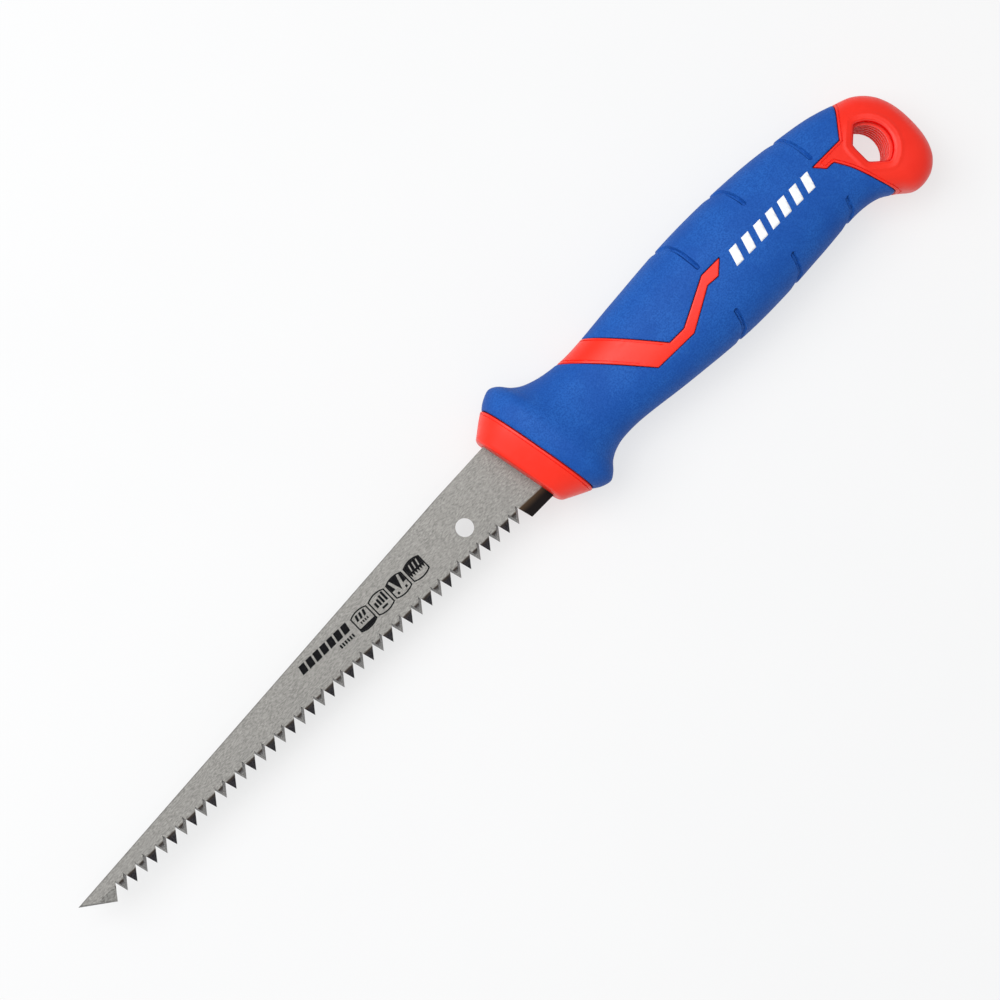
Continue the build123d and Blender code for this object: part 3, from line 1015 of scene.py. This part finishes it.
def bar(left, right, bottom, top, lean=0.0):
    """Outline of a bar whose top is shifted by the lean."""
    return [(left, bottom), (right, bottom), (right + lean, top), (left + lean, top)]


def bar_row(count, start, pitch, width, bottom, top, lean=0.0, rise=0.0):
    """Outlines of a row of bars, each taller than the last one by the rise."""
    bars = []
    for index in range(count):
        left = start + index * pitch
        bars.append(bar(left, left + width, bottom, top + index * rise, lean))
    return bars


BADGE_LEFTS = (-40.1, -33.5, -26.9, -20.3)
BADGE_WIDTH = 6.0
BADGE_BOTTOM, BADGE_TOP = -0.2, 4.45   # where the straight sides end
BADGE_CROWN = 0.75                     # how far the top and bottom bow out
BADGE_LINE = 0.42
INK_GAP = 0.01                         # keeps neighbouring layers of ink apart
PRINT_SLOPE = math.radians(1.4)


def tile_edge(left, start, end, side, inset=BADGE_LINE, steps=8):
    """Points along a tile's bowed bottom (side -1) or top (side 1), from x to x."""
    level = BADGE_TOP if side > 0 else BADGE_BOTTOM
    points = []
    for step in range(steps + 1):
        x = start + (end - start) * step / steps
        share = 2 * (x - left) / BADGE_WIDTH - 1
        points.append((x, level + side * (BADGE_CROWN * (1 - share ** 2) - inset)))
    return points


def tile_outline(left, inset):
    """Barrel-shaped outline: straight sides, bowed bottom and top."""
    low_x, high_x = left + inset, left + BADGE_WIDTH - inset
    bottom = tile_edge(left, low_x, high_x, -1, inset)
    return bottom + tile_edge(left, high_x, low_x, 1, inset)


def badge_bars(left, low_x, high_x):
    """A solid foot with a row of small bars above it and a row of slanted ones on top."""
    foot_top = BADGE_BOTTOM + 0.9
    foot = tile_edge(left, low_x, high_x, -1) + [(high_x, foot_top), (low_x, foot_top)]
    slanted = bar_row(
        count=3, start=low_x + 0.65, pitch=1.3, width=0.75,
        bottom=BADGE_TOP - 1.85, top=BADGE_TOP - 0.15, lean=0.5,
    )
    small = bar_row(
        count=4, start=low_x + 1.2, pitch=0.75, width=0.42,
        bottom=BADGE_TOP - 3.05, top=BADGE_TOP - 2.35,
    )
    return [foot] + slanted + small


def badge_steps(left, low_x, high_x):
    """A row of bars of growing height over a short underline."""
    underline = bar(low_x + 1.7, high_x - 1.5, BADGE_BOTTOM + 0.5, BADGE_BOTTOM + 1.1)
    return [underline] + bar_row(
        count=4, start=low_x + 0.65, pitch=1.1, width=0.7,
        bottom=BADGE_BOTTOM + 1.7, top=BADGE_TOP - 1.3, rise=0.4,
    )


def badge_notch(left, low_x, high_x):
    """A dark top with a V cut out of it, a dark wedge in the V and two dots."""
    middle = (low_x + high_x) / 2
    waist = BADGE_BOTTOM + 2.1
    waist_width, crown_width, wedge_half, dot_width = 1.2, 0.6, 1.3, 0.7
    wedge_point = (middle, BADGE_BOTTOM + 0.8)
    left_side = tile_edge(left, low_x + crown_width, low_x, 1)
    right_side = tile_edge(left, high_x, high_x - crown_width, 1)
    marks = [
        [(low_x, waist), (low_x + waist_width, waist)] + left_side,
        right_side + [(high_x - waist_width, waist), (high_x, waist)],
        [wedge_point] + tile_edge(left, middle + wedge_half, middle - wedge_half, 1),
    ]
    for dot in (low_x + 0.8, high_x - 1.5):
        marks.append(bar(dot, dot + dot_width, BADGE_BOTTOM + 0.4, BADGE_BOTTOM + 1.1))
    return marks


def badge_teeth(left, low_x, high_x):
    """A dark top with three slanted slits, ending in saw teeth above a plain foot."""
    teeth, slit_width, slit_lean = 6, 0.4, 0.45
    pitch = (high_x - low_x) / teeth
    gullet, tip = BADGE_BOTTOM + 2.1, BADGE_BOTTOM + 1.0
    slit_foot, slit_top = gullet + 0.45, BADGE_TOP - 0.1
    run = [(low_x, gullet)]
    for index in range(teeth):
        run.append((low_x + (index + 0.5) * pitch, tip))
        run.append((low_x + (index + 1) * pitch, gullet))
    marks = [
        run + [(high_x, slit_foot), (low_x, slit_foot)],
        [(low_x, slit_top), (high_x, slit_top)] + tile_edge(left, high_x, low_x, 1),
    ]
    slits = [low_x + 1.0, low_x + 2.3, low_x + 3.6]
    for start, end in zip([low_x] + [x + slit_width for x in slits], slits + [high_x]):
        start_lean = 0.0 if start == low_x else slit_lean
        end_lean = 0.0 if end == high_x else slit_lean
        marks.append([
            (start, slit_foot + INK_GAP), (end, slit_foot + INK_GAP),
            (end + end_lean, slit_top - INK_GAP), (start + start_lean, slit_top - INK_GAP),
        ])
    return marks


def make_blade_print(mesh, name):
    """Turn a mesh of marks into a piece, sloped down towards the handle."""
    centre = Vector((BADGE_LEFTS[0], (BADGE_BOTTOM + BADGE_TOP) / 2, 0))
    turn = Matrix.Rotation(-PRINT_SLOPE, 3, "Z")
    bmesh.ops.rotate(mesh, verts=mesh.verts, cent=centre, matrix=turn)
    make_piece(mesh, name, BLACK_INK)


def make_blade_prints():
    """The row of marks on the blade: two rows of bars and four framed badges."""
    large = bar_row(
        count=7, start=-59.5, pitch=2.6, width=2.0, bottom=2.4, top=5.0, lean=0.5
    )
    small = bar_row(count=6, start=-47.0, pitch=0.9, width=0.55, bottom=0.3, top=1.4)
    bars = bmesh.new()
    for outline in large + small:
        slab(bars, outline)
    make_blade_print(bars, "blade_print_bars")
    badges = (badge_bars, badge_steps, badge_notch, badge_teeth)
    for number, (badge, left) in enumerate(zip(badges, BADGE_LEFTS), 1):
        mesh = bmesh.new()
        frame_slab(mesh, tile_outline(left, 0.0), tile_outline(left, BADGE_LINE - INK_GAP))
        for outline in badge(left, left + BADGE_LINE, left + BADGE_WIDTH - BADGE_LINE):
            slab(mesh, outline)
        make_blade_print(mesh, f"blade_print_badge_{number}")


# ------------------------------------------------------- floor, lights and camera
FLOOR_HALF = 6.0
FLOOR_GAP = 0.0002                    # between the saw's lowest point and the floor
KEY_PLACE, KEY_SIZE, KEY_POWER = (-0.32, 0.50, 0.95), 0.8, 9.0
TOP_PLACE, TOP_SIZE, TOP_POWER = (0.0, 0.15, 1.2), 0.9, 4.5
SKY_COLOUR, SKY_STRENGTH = (0.96, 0.98, 1.0, 1), 0.45
CAMERA_AIM = Vector((12.2, -1.56, 0)) * MM
CAMERA_DISTANCE = 650 * MM
CAMERA_TILT = math.radians(4.063)     # how far the camera leans towards the blade's point
CAMERA_ROLL = math.radians(45.3)
CAMERA_LENS, CAMERA_SENSOR = 85.33, 36


def make_floor():
    """Wide pale card just below the saw."""
    mesh = bmesh.new()
    height = cad_box[0].z - FLOOR_GAP
    mesh.faces.new([
        mesh.verts.new((FLOOR_HALF * x, FLOOR_HALF * y, height))
        for x, y in ((-1, -1), (1, -1), (1, 1), (-1, 1))
    ])
    data = bpy.data.meshes.new("floor")
    mesh.to_mesh(data)
    mesh.free()
    data.materials.append(pale_floor())
    floor = bpy.data.objects.new("floor", data)
    bpy.context.scene.collection.objects.link(floor)


def softbox(name, place, aim, size, power):
    """Square area light that points at a place in the frame."""
    data = bpy.data.lights.new(name, "AREA")
    data.size = size
    data.energy = power
    lamp = bpy.data.objects.new(name, data)
    lamp.location = place
    lamp.rotation_euler = (Vector(aim) - Vector(place)).to_track_quat("-Z", "Y").to_euler()
    bpy.context.scene.collection.objects.link(lamp)


def light_scene():
    """Two soft lights over the saw and an even, dim sky."""
    middle = (cad_box[0] + cad_box[1]) / 2
    softbox("key_light", KEY_PLACE, middle, KEY_SIZE, KEY_POWER)
    softbox("top_light", TOP_PLACE, middle, TOP_SIZE, TOP_POWER)
    world = bpy.data.worlds.new("studio")
    world.use_nodes = True
    sky = world.node_tree.nodes["Background"]
    sky.inputs["Color"].default_value = SKY_COLOUR
    sky.inputs["Strength"].default_value = SKY_STRENGTH
    bpy.context.scene.world = world
    bpy.context.scene.view_settings.view_transform = "Standard"


def place_camera():
    """Camera above the printed face, rolled so that the saw lies across the picture."""
    across = Vector((math.cos(CAMERA_TILT), 0, math.sin(CAMERA_TILT)))
    back = Vector((-math.sin(CAMERA_TILT), 0, math.cos(CAMERA_TILT)))
    spineward = Vector((0, 1, 0))
    right = across * math.cos(CAMERA_ROLL) - spineward * math.sin(CAMERA_ROLL)
    up = across * math.sin(CAMERA_ROLL) + spineward * math.cos(CAMERA_ROLL)
    turned = Matrix((right, up, back)).transposed().to_4x4()
    data = bpy.data.cameras.new("camera")
    data.lens = CAMERA_LENS
    data.sensor_width = CAMERA_SENSOR
    camera = bpy.data.objects.new("camera", data)
    camera.matrix_world = Matrix.Translation(CAMERA_AIM + back * CAMERA_DISTANCE) @ turned
    bpy.context.scene.collection.objects.link(camera)
    bpy.context.scene.camera = camera


# -------------------------------------------------------------------- putting it up
skin = cut_skin()
make_core(skin)
make_grip(skin)
make_grip_print(skin)
make_blade_prints()
skin.free()

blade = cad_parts["blade"]
blade.data.materials.clear()
blade.data.materials.append(STEEL)

make_floor()
light_scene()
place_camera()
